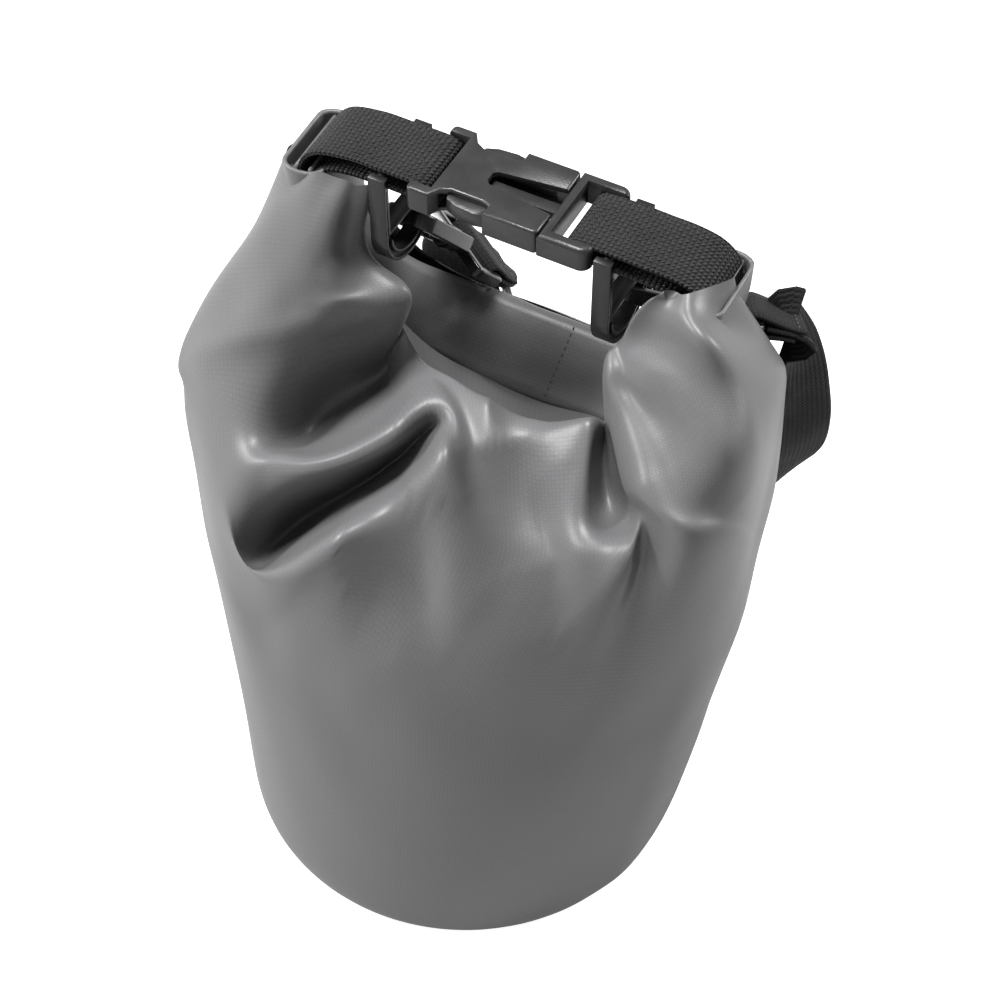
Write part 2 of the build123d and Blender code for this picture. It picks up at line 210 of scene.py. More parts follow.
def placeGroup(tree, group, vector, values):
    node = tree.nodes.new("ShaderNodeGroup")
    node.node_tree = group
    tree.links.new(vector, node.inputs["Vector"])
    for label, value in values.items():
        node.inputs[label].default_value = value
    return node


def ramp(tree, source, low, high, start=0.3, end=0.7):
    node = tree.nodes.new("ShaderNodeMapRange")
    tree.links.new(source, node.inputs["Value"])
    for label, value in (("From Min", start), ("From Max", end), ("To Min", low), ("To Max", high)):
        node.inputs[label].default_value = value
    return node.outputs["Result"]


def tint(tree, source, dark, light):
    node = tree.nodes.new("ShaderNodeMix")
    node.data_type = "RGBA"
    tree.links.new(source, node.inputs["Factor"])
    node.inputs["A"].default_value = (*dark, 1)
    node.inputs["B"].default_value = (*light, 1)
    return node.outputs["Result"]


def bumped(tree, height, strength, distance, below=None):
    node = tree.nodes.new("ShaderNodeBump")
    node.inputs["Strength"].default_value = strength
    node.inputs["Distance"].default_value = distance
    tree.links.new(height, node.inputs["Height"])
    if below is not None:
        tree.links.new(below, node.inputs["Normal"])
    return node.outputs["Normal"]


def startMaterial(name, sockets):
    material = bpy.data.materials.new(name)
    material.use_nodes = True
    tree = material.node_tree
    shader = tree.nodes["Principled BSDF"]
    for label, value in sockets.items():
        shader.inputs[label].default_value = value
    coords = tree.nodes.new("ShaderNodeTexCoord")
    return material, tree, shader, coords


def clothMaterial(name, look):
    # woven surfaces, laid out on the piece's own map
    material, tree, shader, coords = startMaterial(name, look["sockets"])
    weave = placeGroup(tree, threadWeave, coords.outputs["UV"], look["weave"])
    grain = placeGroup(tree, surfaceGrain, coords.outputs["Object"], look["grain"])
    shade = tint(tree, ramp(tree, grain.outputs["Patches"], 0, 1), look["dark"], look["light"])
    # painted shade: the colour is mixed towards the darker gap colour in the weave's gaps, as shade between the
    # threads
    between = tree.nodes.new("ShaderNodeMix")
    between.data_type = "RGBA"
    paintedGapShade = ramp(tree, weave.outputs["Gap"], 0, look["gapShadeAmount"], 0.25, 0.85)
    tree.links.new(paintedGapShade, between.inputs["Factor"])
    tree.links.new(shade, between.inputs["A"])
    between.inputs["B"].default_value = (*look["gap"], 1)
    tree.links.new(between.outputs["Result"], shader.inputs["Base Color"])
    tree.links.new(ramp(tree, grain.outputs["Patches"], *look["roughness"]), shader.inputs["Roughness"])
    fine = bumped(tree, grain.outputs["Grain"], look["grainBump"], look["grainDepth"])
    tree.links.new(bumped(tree, weave.outputs["Height"], look["weaveBump"], look["weaveDepth"], fine),
                   shader.inputs["Normal"])
    return material


def mouldedMaterial(name, look):
    material, tree, shader, coords = startMaterial(name, look["sockets"])
    grain = placeGroup(tree, surfaceGrain, coords.outputs["Object"], look["grain"])
    shade = tint(tree, ramp(tree, grain.outputs["Patches"], 0, 1), look["dark"], look["light"])
    tree.links.new(shade, shader.inputs["Base Color"])
    tree.links.new(ramp(tree, grain.outputs["Patches"], *look["roughness"]), shader.inputs["Roughness"])
    tree.links.new(bumped(tree, grain.outputs["Grain"], look["grainBump"], look["grainDepth"]),
                   shader.inputs["Normal"])
    return material


# each woven look's gap colour is painted shade between its threads
coatedCloth = clothMaterial("coatedCloth", dict(
    sockets={"Specular IOR Level": 0.5, "Sheen Weight": 0.05, "Coat Weight": 0.05, "Coat Roughness": 0.4},
    weave={"Threads along": 820.0, "Threads across": 820.0, "Roundness": 0.8},
    grain={"Grain scale": 260.0, "Patch scale": 14.0},
    dark=(0.118, 0.118, 0.121), light=(0.140, 0.140, 0.143), roughness=(0.38, 0.46),
    gap=(0.085, 0.085, 0.088), gapShadeAmount=0.35,
    grainBump=0.10, grainDepth=0.0006, weaveBump=0.14, weaveDepth=0.00012))
closureWebbing = clothMaterial("closureWebbing", dict(
    sockets={"Specular IOR Level": 0.32, "Sheen Weight": 0.05, "Sheen Roughness": 0.5},
    weave={"Threads along": 620.0, "Threads across": 620.0, "Roundness": 0.7},
    grain={"Grain scale": 2600.0, "Patch scale": 60.0},
    dark=(0.010, 0.010, 0.0105), light=(0.024, 0.024, 0.0245), roughness=(0.48, 0.62),
    gap=(0.0, 0.0, 0.0), gapShadeAmount=1.0,
    grainBump=0.35, grainDepth=0.0002, weaveBump=1.0, weaveDepth=0.0012))
strapWebbing = clothMaterial("strapWebbing", dict(
    sockets={"Specular IOR Level": 0.2, "Sheen Weight": 0.05, "Sheen Roughness": 0.5},
    weave={"Threads along": 900.0, "Threads across": 560.0, "Roundness": 0.8},
    grain={"Grain scale": 2600.0, "Patch scale": 45.0},
    dark=(0.006, 0.006, 0.0065), light=(0.013, 0.013, 0.014), roughness=(0.6, 0.8),
    gap=(0.002, 0.002, 0.002), gapShadeAmount=0.8,
    grainBump=0.3, grainDepth=0.0002, weaveBump=0.7, weaveDepth=0.0005))
bucklePlastic = mouldedMaterial("bucklePlastic", dict(
    sockets={"Specular IOR Level": 0.6}, grain={"Grain scale": 1500.0, "Patch scale": 80.0},
    dark=(0.014, 0.014, 0.0145), light=(0.022, 0.022, 0.0225), roughness=(0.32, 0.42),
    grainBump=0.35, grainDepth=0.0002))
fittingPlastic = mouldedMaterial("fittingPlastic", dict(
    sockets={"Specular IOR Level": 0.5}, grain={"Grain scale": 1300.0, "Patch scale": 90.0},
    dark=(0.007, 0.007, 0.0075), light=(0.012, 0.012, 0.0125), roughness=(0.30, 0.40),
    grainBump=0.22, grainDepth=0.0002))
hookPlastic = mouldedMaterial("hookPlastic", dict(
    sockets={"Specular IOR Level": 0.55, "Coat Weight": 0.3, "Coat Roughness": 0.15},
    grain={"Grain scale": 1100.0, "Patch scale": 90.0},
    dark=(0.006, 0.006, 0.0065), light=(0.010, 0.010, 0.0105), roughness=(0.20, 0.32),
    grainBump=0.12, grainDepth=0.0002))
pinSteel = mouldedMaterial("pinSteel", dict(
    sockets={"Metallic": 1.0}, grain={"Grain scale": 3000.0, "Patch scale": 400.0},
    dark=(0.50, 0.50, 0.51), light=(0.62, 0.62, 0.63), roughness=(0.22, 0.34),
    grainBump=0.1, grainDepth=0.0001))
darkThread = mouldedMaterial("darkThread", dict(
    sockets={"Sheen Weight": 0.2}, grain={"Grain scale": 4000.0, "Patch scale": 300.0},
    dark=(0.010, 0.010, 0.011), light=(0.03, 0.03, 0.032), roughness=(0.5, 0.7),
    grainBump=0.4, grainDepth=0.0001))
print("materials made")


# the bag's skin: one folded tube of coated cloth on a round base

bagSkin = {
    "sections": [  # height, half width, half depth, shift x, shift y
        (0, 77, 77, 0, 0), (4, 84, 84, 0, 0), (14, 88, 87, 0.2, 0.1), (60, 93.5, 82.5, 1.2, 0.5),
        (110, 101, 75.5, -0.2, 2)],
    "levels": 3,
    "girth": 534.0,
    "length": 300.0,
    "baseRings": (0.93, 0.5),
    "fitSteps": 12, "fitShare": 0.9,
    "unevenness": 0.35,
    "swells": [  # centre, reach and rounds of evening out
        ((36, -50, 196), (52, 34, 56), 60),
        ((86, -28, 168), (26, 30, 24), 30),
        ((14, -22, 228), (22, 26, 20), 30),
        ((-111, 5, 176), (12, 22, 16), 14),
        ((71, -17, 255), (14, 15, 26), 25)],
    "swellEdge": 2.5, "swellShare": 0.6,
}

# one column per line: its turn in degrees from the left side, then its points upwards
skinColumns = [
    (0, [(-104, 4, 146), (-104, 6, 164), (-105, 7, 170), (-107, 8, 176), (-109, 9, 182), (-111, 10, 189),
        (-104, 14, 212), (-88, 18, 243), (-70, 23, 284)]),
    (14, [(-103, -14, 146), (-103, -14, 168), (-105, -12, 172), (-107, -9, 177), (-110, -6, 182),
        (-113, -3, 187), (-104, 5, 215), (-87, 10, 247), (-72, 15, 286)]),
    (28, [(-93.5, -31, 129.3), (-96.7, -27, 151), (-100.8, -22, 162.2), (-104.6, -17, 172.3),
        (-108.2, -12, 180.1), (-112.7, -6, 185.3), (-96.7, -2, 222.5), (-77.7, 2, 259.4),
        (-61.9, 7, 287.2)]),
    (41, [(-80, -43, 134), (-72.3, -47, 158.4), (-71.9, -43, 171.8), (-73.4, -37, 181.6),
        (-79.9, -26, 191.3), (-86.9, -14, 211.4), (-72.5, -9, 243.4), (-61.7, -3, 270.1),
        (-53.8, 5, 292.7)]),
    (52, [(-63, -53, 132), (-52.8, -58, 157.1), (-61.9, -47, 148.9), (-55.1, -38, 190.7),
        (-62.3, -25, 188.7), (-64.6, -15, 226.7), (-55, -11, 253.6), (-51.3, -4, 273.8),
        (-47.6, 5, 293.3)]),
    (62, [(-47, -59, 134), (-31.6, -60, 176.7), (-55.1, -27, 146.4), (-35.9, -40, 203.3),
        (-56.5, -10, 181), (-48.3, -11, 237.2), (-42.5, -8, 255), (-44.9, -3, 274), (-42.2, 5, 293.8)]),
    (71, [(-32.3, -62.7, 146), (-10.7, -54, 203.9), (-37.5, -18, 164.6), (-17.9, -35, 216),
        (-44, -1, 193), (-37.7, -3, 237.9), (-32.7, -2, 254.3), (-42.2, 2, 265.3), (-39.1, 6, 292.6)]),
    (79, [(-18.2, -65.2, 146), (6.8, -46, 223.6), (-16.1, -12, 193), (-3, -27, 231.6), (-32.8, 6, 203.9),
        (-27.3, 6, 228.6), (-21.9, 6, 253.7), (-38.3, 9, 260.1), (-36.9, 9, 289.3)]),
    (86, [(-5.7, -66.3, 146), (15.3, -41, 233.5), (8.5, -24, 232.6), (4.7, -13, 233.5), (-22, 2, 222),
        (-27, 8, 228), (-32, 12, 236), (-40, 15, 240), (-50, 17, 252)]),
    (93, [(7, -66.4, 146), (27.5, -52, 208.1), (22.5, -38, 220.8), (15.5, -21, 227.2), (9.4, -6, 233.1),
        (-0.4, -3.2, 221), (-10.3, 2.6, 216), (-20.1, 10.4, 214.8), (-30, 20, 216)]),
    (100, [(19.7, -65.4, 146), (38.8, -51, 200.6), (32.4, -39, 214.9), (23.6, -23, 225.4),
        (14.4, -6, 234.5), (8.8, -3.1, 217.2), (3.2, 2.9, 210), (-2.4, 11, 207.1), (-8, 21, 207)]),
    (107, [(32, -63.4, 146), (48.9, -50, 201.3), (43.6, -40, 211.4), (35.5, -25, 221.2),
        (25.3, -6, 230.5), (21.5, -3.1, 214.2), (17.6, 2.9, 207.5), (13.8, 11, 204.9), (10, 21, 205)]),
    (114, [(43.9, -60.4, 146), (61.6, -48, 206.9), (55.6, -38, 216.8), (48, -24, 225.6), (39, -7, 233.1),
        (36.2, -4.1, 216.5), (33.5, 1.9, 209.6), (30.7, 10, 207), (28, 20, 207)]),
    (122, [(56.7, -55.8, 146), (72.6, -42, 211.2), (66.5, -32, 219.8), (58.9, -19, 228.6),
        (51.5, -4, 239.2), (49.1, -1.5, 221.6), (46.8, 3.6, 214.3), (44.4, 10.5, 211.2), (42, 19, 211)]),
    (130, [(68.4, -50, 146), (81.3, -37, 224.7), (67.9, -19, 219), (57.1, -7, 223.1), (52.4, 3, 227.9),
        (52.8, 4.6, 220.4), (53.2, 7.9, 217.3), (53.6, 12.5, 217.5), (54, 18, 220)]),
    (137, [(77.7, -44.1, 146), (83.9, -32, 222.8), (76.4, -28, 240), (66.4, -18, 250), (56.3, -6, 254.2),
        (50.5, 3, 259.3), (57, 8, 258), (62, 9, 265), (68, 10, 273)]),
    (146, [(87.8, -35.4, 146), (96.8, -36, 225.7), (91.9, -33, 245.4), (82, -22, 252.9),
        (69.6, -10, 257.4), (58.8, 0, 263.1), (55.9, 5, 271.2), (61.5, 5, 286.9), (67.5, 6, 295.2)]),
    (156, [(96.6, -24.7, 146), (106.4, -27, 223.3), (103.5, -26, 243.4), (97.8, -24, 260),
        (87.2, -16, 269), (75, -7, 274.5), (68.4, 2, 277.5), (68.5, 4, 288.5), (70.7, 9, 294)]),
    (168, [(103.3, -10.7, 146), (109.2, -10, 207.6), (108.8, -10, 226.7), (109.1, -12, 253.6),
        (104.6, -9, 269.4), (96.7, -4, 279.1), (88.2, -4, 291.3), (80.5, 1, 294.4), (75.4, 8, 297.1)]),
    (190, [(104, 16.2, 146), (105.1, 14, 182.1), (104.6, 19, 198.7), (103.6, 23, 223.9),
        (102.9, 25, 249.9), (99.1, 24, 262.6), (91.2, 22, 272.8), (86.1, 19, 282.4), (83, 22, 294)]),
    (212, [(89.8, 41.4, 146), (98, 42, 178), (98, 44, 200), (97, 45, 218), (95, 45, 236), (92, 42, 248),
        (88, 38, 260), (84, 33, 272), (79, 27, 284)]),
    (235, [(61.3, 61.8, 146), (74, 60, 172), (73, 62, 186), (72, 62, 200), (70, 61, 212), (68, 58, 224),
        (67, 53, 232), (67, 47, 238), (68, 40, 244)]),
    (256, [(26.8, 72.4, 146), (34, 71, 166), (35, 70, 177), (36, 68, 188), (38, 65, 198), (40, 61, 206),
        (42, 57, 212), (45, 53, 217), (48, 49, 221)]),
    (276, [(-9.3, 74.1, 146), (-2, 73, 165), (0, 71, 177), (3, 68, 188), (6, 65, 198), (9, 61, 205),
        (12, 57, 210), (15, 53, 215), (18, 50, 218)]),
    (296, [(-44, 67.4, 146), (-42, 69, 164), (-40, 68, 176), (-37, 66, 187), (-33, 63, 197),
        (-28, 60, 205), (-24, 56, 211), (-20, 53, 215), (-16, 50, 218)]),
    (318, [(-75.7, 51.2, 146), (-76, 54, 164), (-74, 56, 176), (-71, 57, 188), (-67, 57, 200),
        (-62, 55, 212), (-56, 52, 222), (-50, 48, 228), (-44, 46, 231)]),
    (340, [(-96.1, 28.1, 146), (-98, 31, 165), (-98, 33, 174), (-98, 35, 184), (-97, 36, 194),
        (-92, 37, 208), (-84, 37, 228), (-74, 36, 248), (-64, 35, 268)]),
]

# creases pressed into the skin: depth (minus goes in), width, then the line's points
skinCreases = [
    (-1.6, 10, [(55.8, -3.9, 259.6), (66.8, -7.2, 258.9), (83.7, -16.6, 263), (99.5, -23.5, 261.3),
        (108.4, -16.2, 245.7)]),
    (1, 3, [(77.1, 3, 295.4), (84.9, -3, 293.1), (93.1, -3.9, 284.5), (100.4, -5.1, 274.7),
        (106.2, -8.8, 266.3), (109, -8.9, 252.3)]),
    (-6.5, 15, [(29.3, -16, 227.6), (41.3, -30.1, 217.7), (54.9, -46, 211.5), (65.2, -48.8, 185.3)]),
    (3, 8, [(62.8, -50, 183.9), (71.5, -45.4, 196.6), (76.2, -41.4, 212.7), (79.6, -36, 225.8)]),
    (2.4, 9, [(40.3, -18.1, 227.5), (54.8, -31.7, 221), (66.7, -44.4, 212.5), (71.9, -46, 193)]),
    (-6, 13, [(6.6, -50.4, 217.7), (11.6, -55.4, 191.1), (19.4, -62.3, 164.6)]),
    (2.6, 9, [(17.5, -47.9, 217), (24, -54.8, 198.1), (26.2, -60, 171.1)]),
    (1.4, 9, [(21.4, -61.4, 168.4), (30, -58, 178.2), (37.9, -52.2, 197)]),
    (-1.6, 7, [(-61.3, -12.8, 242.4), (-48.4, -12.2, 247.2), (-41, -6.6, 241.7)]),
    (2.2, 5, [(-110, -6.6, 189), (-77, -14.6, 222.1), (-51.6, -12.9, 241.7), (-37.7, -4.1, 241),
        (-22.4, 3.3, 254.4)]),
    (-2, 7, [(-94.7, -15.6, 195), (-67.7, -16.7, 218.5), (-48.1, -7.1, 227.6), (-28.4, 1.4, 237.4)]),
    (-1.8, 6, [(-42.3, 2.3, 266), (-44, -3.9, 267.8), (-49.5, -8.8, 260)]),
    (1.3, 8, [(-48.5, 3.6, 290.4), (-49.2, -1.5, 280), (-55.1, -6.5, 266.7)]),
    (1.8, 6, [(-55.6, -33.5, 192.4), (-38.7, -39.6, 201.3), (-23.4, -37, 211.4), (-9, -30.6, 225.8),
        (0.7, -19.7, 233.9)]),
    (1.5, 5, [(53.2, 0.2, 263), (61.4, -2.3, 261.9), (73.2, -9.4, 264.5)]),
    (-3.2, 5, [(81.4, -36.1, 225.2), (70.1, -20.8, 222.2), (61.3, -12.4, 229.2), (53.9, -4, 234.8)]),
    (-1.2, 5, [(16.6, -9.4, 234.6), (24.5, -9.8, 231.1), (36.3, -9.1, 231.5), (51.9, -7.8, 239.7)]),
    (1.5, 7, [(34.6, -20.3, 224.6), (39.8, -15.8, 229.1), (50.2, -18.7, 231.7)]),
    (-1, 5, [(-30, 6.1, 224.1), (-35.4, 9.8, 205.2), (-32, 5.2, 205.1)]),
    (1.6, 6, [(-54.2, -57.7, 156.6), (-38.1, -58.6, 168.7), (-20.3, -57.9, 191.4), (-2.1, -46.2, 213.4),
        (14.4, -35.9, 239.9)]),
]


def skinCage():
    columns = []
    for turn, upper in skinColumns:
        angle = math.radians(turn)
        lower = [(dx - a * math.cos(angle), dy - b * math.sin(angle), z)
                 for z, a, b, dx, dy in bagSkin["sections"]]
        columns.append(lower + list(upper))
    cage = np.array(columns) * milli
    count, rows = cage.shape[:2]
    points = list(cage.reshape(-1, 3))
    faces, uvs = [], []
    run = np.linalg.norm(np.diff(cage, axis=1), axis=2).mean(0).cumsum()
    heights = np.concatenate([[0], run])
    turns = [turn for turn, _ in skinColumns] + [360]
    girth = bagSkin["girth"] * milli
    for c in range(count):
        n = (c + 1) % count
        for r in range(rows - 1):
            faces.append((c * rows + r, n * rows + r, n * rows + r + 1, c * rows + r + 1))
            u, w = turns[c] / 360 * girth, turns[c + 1] / 360 * girth
            uvs.append(((u, heights[r]), (w, heights[r]), (w, heights[r + 1]), (u, heights[r + 1])))
    # flat base, closed by rings and a middle point
    ring = [c * rows for c in range(count)]
    for share in bagSkin["baseRings"]:
        start = len(points)
        points += [np.array([cage[c, 0, 0] * share, cage[c, 0, 1] * share, 0.0]) for c in range(count)]
        for c in range(count):
            n = (c + 1) % count
            faces.append((ring[c], start + c, start + n, ring[n]))
            uvs.append([(points[i][0], points[i][1]) for i in faces[-1]])
        ring = list(range(start, start + count))
    middle = len(points)
    points.append(np.zeros(3))
    for c in range(count):
        faces.append((ring[c], middle, ring[(c + 1) % count]))
        uvs.append([(points[i][0], points[i][1]) for i in faces[-1]])
    return np.array(points), faces, uvs


def subdivided(name, points, faces, uvs, levels):
    made = newObject(name, meshFrom(name, points, faces, uvs))
    divide = made.modifiers.new("divide", "SUBSURF")
    divide.levels = divide.render_levels = levels
    divide.use_limit_surface = True
    return applied(made)


def fitCage(points, faces, uvs):
    # moves the cage until the smooth surface passes through the given points
    wanted, cage = points.copy(), points.copy()
    for _ in range(bagSkin["fitSteps"]):
        trial = subdivided("trial", cage, faces, uvs, 1)
        reached = np.array([v.co for v in trial.data.vertices])[:len(cage)]
        cage += (wanted - reached) * bagSkin["fitShare"]
        bpy.data.objects.remove(trial)
    return cage


def readPoints(mesh):
    flat = np.empty(len(mesh.vertices) * 3)
    mesh.vertices.foreach_get("co", flat)
    return flat.reshape(-1, 3)


def readNormals(mesh):
    flat = np.empty(len(mesh.vertices) * 3)
    mesh.vertex_normals.foreach_get("vector", flat)
    return flat.reshape(-1, 3)


def writePoints(mesh, points):
    mesh.vertices.foreach_set("co", points.ravel())
    mesh.update()


def pressCrease(points, normals, depth, width, line):
    # fades at both ends; a sharp bottom with soft shoulders
    line = np.array(line) * milli
    best = np.full(len(points), 1e9)
    fade = np.zeros(len(points))
    for k in range(len(line) - 1):
        a, b = line[k], line[k + 1]
        along = b - a
        t = np.clip((points - a) @ along / (along @ along), 0, 1)
        away = np.linalg.norm(points - (a + t[:, None] * along), axis=1)
        place = (k + t) / (len(line) - 1)
        nearer = away < best
        best = np.where(nearer, away, best)
        fade = np.where(nearer, np.sin(np.pi * np.clip(place, 0, 1)) ** 0.6, fade)
    span = best / (width * milli)
    profile = np.exp(-span * 1.6) * (1 + span * 1.1) * np.clip(1.6 - span * 0.4, 0, 1)
    return points + normals * (depth * milli * profile * fade)[:, None]


def ripple(points, normals):
    # wide hand-made unevenness and a few soft ripples, none near the base
    x, y, z = (points / milli).T
    slow = (np.sin(x * 0.071 + z * 0.043 + 1.3) * np.sin(y * 0.067 - z * 0.052 + 0.4)
            + 0.5 * np.sin(x * 0.13 - y * 0.11 + z * 0.09))
    grow = np.clip((z - 15) / 90, 0, 1)
    return points + normals * (slow * grow * bagSkin["unevenness"] * milli)[:, None]


def relax(mesh, points):
    # evens out the swells between the folds
    ends = np.array([tuple(edge.vertices) for edge in mesh.edges])
    count = np.bincount(ends.ravel(), minlength=len(points))[:, None]
    for centre, reach, rounds in bagSkin["swells"]:
        away = np.linalg.norm((points / milli - centre) / reach, axis=1)
        mask = np.clip((1 - away) * bagSkin["swellEdge"], 0, 1)[:, None]
        for _ in range(rounds):
            total = np.zeros_like(points)
            np.add.at(total, ends[:, 0], points[ends[:, 1]])
            np.add.at(total, ends[:, 1], points[ends[:, 0]])
            points = points + (total / count - points) * mask * bagSkin["swellShare"]
    return points


def makeSkin():
    points, faces, uvs = skinCage()
    cage = fitCage(points, faces, uvs)
    skin = subdivided("bag_skin", cage, faces, uvs, bagSkin["levels"])
    mesh = skin.data
    shape = relax(mesh, readPoints(mesh))
    for depth, width, line in skinCreases:
        writePoints(mesh, shape)
        shape = pressCrease(shape, readNormals(mesh), depth, width, line)
    writePoints(mesh, shape)
    shape = ripple(shape, readNormals(mesh))
    shape[:, 2] = np.maximum(shape[:, 2], 0)
    writePoints(mesh, shape)
    mesh.polygons.foreach_set("use_smooth", [True] * len(mesh.polygons))
    mesh.materials.append(coatedCloth)
    return skin


bagSkinPiece = makeSkin()
print("skin made", len(bagSkinPiece.data.polygons))


# the mouth, rolled up into a flat band that bends up at both ends

collarBand = {
    "route": [  # x, y, z, tilt in degrees, thickness share
        (-61.5, 20, 290.5, 0, 1.75), (-61, 20.6, 280, 0, 1.6), (-60, 21.5, 262, 4, 1.2),
        (-59, 23, 244, 10, 1.0), (-54, 27, 227, 20, 1.0), (-42, 31.5, 216, 30, 1.0), (-25, 34, 213, 35, 1.0), (9, 34.5, 212, 36, 1.0),
        (43, 33.5, 213, 35, 1.0), (60, 29, 218, 28, 1.0), (72, 25, 230, 16, 1.0), (76.5, 24, 248, 6, 1.0),
        (77.5, 23.6, 266, 0, 1.2), (78, 23.5, 279, 0, 1.5), (78, 23.5, 289, 0, 1.6)],
    "width": 31.0, "thickness": 9.0, "wall": 1.1, "corners": 8, "lipSteps": 6, "seamX": 22.0,
    "layerGap": 2.6, "layerPoints": 12, "layerWidth": 0.027, "layerStep": 0.002, "layerThickness": 0.0012,
}

# soft dips in the band's inner face
collarCreases = [
    (-2.6, 9, [(-30, 26, 218), (-22, 34, 221), (-16, 43, 226)]),
    (1.6, 8, [(-8, 24, 212), (-4, 34, 220), (-2, 44, 227)]),
    (-1.2, 9, [(4, 26, 212), (8, 36, 220), (9, 44, 226)]),
]


def collarWays(steps=9):
    rows = smoothRoute(collarBand["route"], steps)
    centres = rows[:, :3] * milli
    tilt = np.radians(rows[:, 3])
    sides = np.stack([np.zeros(len(rows)), np.cos(tilt), np.sin(tilt)], 1)
    return centres, sides, rows[:, 4]


def makeCollar():
    centres, sides, grow = collarWays()
    width, thick, wall = (collarBand[k] * milli for k in ("width", "thickness", "wall"))
    section = flatSection(width, thick, collarBand["corners"])
    outer = sweep("rolled_band", centres, sides, section, [(1, g) for g in grow])
    faces = [tuple(p.vertices) for p in outer.polygons][:-2]
    ring = len(section)
    points = [np.array(v.co) for v in outer.vertices]
    layer = outer.uv_layers[0].data
    cloth = [[tuple(layer[i].uv) for i in p.loop_indices] for p in outer.polygons][:-2]
    # thin open ends: a second wall runs a short way in and closes there
    for end in (0, len(centres) - 1):
        way = 1 if end == 0 else -1
        last = [end * ring + j for j in range(ring)]
        for step in range(collarBand["lipSteps"] + 1):
            k = end + way * step
            middle = centres[k]
            start = len(points)
            share = 1 - 2 * wall / width, 1 - 2 * wall / (thick * grow[k])
            along, across, out = axesAt(centres, sides, k)
            for j in range(ring):
                reach = points[k * ring + j] - middle
                points.append(middle + across * (reach @ across) * share[0]
                              + out * (reach @ out) * share[1])
            for j in range(ring):
                i = (j + 1) % ring
                quad = (last[j], last[i], start + i, start + j)
                faces.append(quad if end else quad[::-1])
                cloth.append([(0.001 * j, 0.001 * step), (0.001 * j + 0.001, 0.001 * step),
                              (0.001 * j + 0.001, 0.001 * step + 0.001), (0.001 * j, 0.001 * step + 0.001)])
            last = list(range(start, start + ring))
        faces.append(tuple(last) if end else tuple(last)[::-1])
        cloth.append([(0, 0)] * ring)
    mesh = meshFrom("rolled_band", points, faces, cloth)
    band = newObject("rolled_band", mesh)
    shape = readPoints(mesh)
    normals = readNormals(mesh)
    for depthIn, wide, line in collarCreases:
        shape = pressCrease(shape, normals, depthIn, wide, line)
    writePoints(mesh, shape)
    mesh.materials.append(coatedCloth)
    return band


def makeInnerLayers():
    # the rolled layers that show inside both open ends
    centres, sides, _ = collarWays()
    look, count = collarBand, len(centres)
    made = []
    for name, part in (("left", slice(1, look["layerPoints"])),
                       ("right", slice(count - look["layerPoints"], count - 1))):
        meshes = []
        for k, gap in enumerate((-look["layerGap"], look["layerGap"])):
            out = []
            for i in range(*part.indices(count)):
                along = unit(centres[min(i + 1, count - 1)] - centres[max(i - 1, 0)])
                out.append(centres[i] + np.cross(along, sides[i]) * gap * milli)
            section = flatSection(look["layerWidth"] - look["layerStep"] * k, look["layerThickness"])
            meshes.append(sweep("layer", np.array(out), sides[part], section))
        made.append(joined("roll_layers_" + name, meshes, coatedCloth))
    return made


def joined(name, meshes, material):
    points, faces, uvs, start = [], [], [], 0
    for mesh in meshes:
        points += [tuple(v.co) for v in mesh.vertices]
        faces += [tuple(i + start for i in p.vertices) for p in mesh.polygons]
        layer = mesh.uv_layers[0].data
        uvs += [[tuple(layer[i].uv) for i in p.loop_indices] for p in mesh.polygons]
        start = len(points)
    piece = newObject(name, meshFrom(name, points, faces, uvs))
    piece.data.materials.append(material)
    return piece


collarPiece = makeCollar()
layerPieces = makeInnerLayers()
print("rolled band made")

# the two webbing tabs of the closure, each folded round its bar and sewn into the band's end

closureTabs = {
    "width": 25.0, "thickness": 1.9, "turnStart": 26,
    "left": {"middleY": 22.0, "outerY": 20.5, "route": [
        (-63.2, 273), (-63.2, 284), (-61.5, 291.5), (-56, 296.4), (-46, 298.0), (-33, 298.1), (-22, 298.1),
        (-18.6, 297.2), (-17.4, 295.0), (-18.6, 292.8), (-22, 291.9), (-33, 291.9), (-46, 291.6), (-54, 289.6),
        (-58.5, 285), (-60.0, 277), (-60.0, 270)]},
    "right": {"middleY": 22.0, "outerY": 23.5, "route": [
        (80.6, 270), (80.8, 281), (79.6, 289.2), (74.5, 294.6), (66, 297.2), (54, 298.1), (42, 298.1),
        (36.2, 297.6), (33.4, 296.6), (32.4, 295.0), (33.4, 293.4), (36.2, 292.4), (42, 291.9), (54, 291.9),
        (65, 290.8), (72.5, 287.2), (76.6, 281.5), (77.2, 270)]},
}


def makeTab(name):
    look = closureTabs[name]
    rows = smoothRoute([(x, 0, z) for x, z in look["route"]], 7)
    outermost = max(abs(x) for x, _ in look["route"])
    innermost = min(abs(x) for x, _ in look["route"]) + closureTabs["turnStart"]
    centres = rows.copy()
    share = np.clip((np.abs(rows[:, 0]) - innermost) / (outermost - innermost), 0, 1)
    centres[:, 1] = look["middleY"] + (look["outerY"] - look["middleY"]) * share
    sides = np.tile([0.0, 1.0, 0.0], (len(rows), 1))
    section = flatSection(closureTabs["width"] * milli, closureTabs["thickness"] * milli, 6)
    mesh = sweep("webbing_tab_" + name, centres * milli, sides, section)
    piece = newObject("webbing_tab_" + name, mesh)
    mesh.materials.append(closureWebbing)
    return piece


tabPieces = {name: makeTab(name) for name in ("left", "right")}
print("webbing tabs made")

# the shoulder strap and its sewn ends

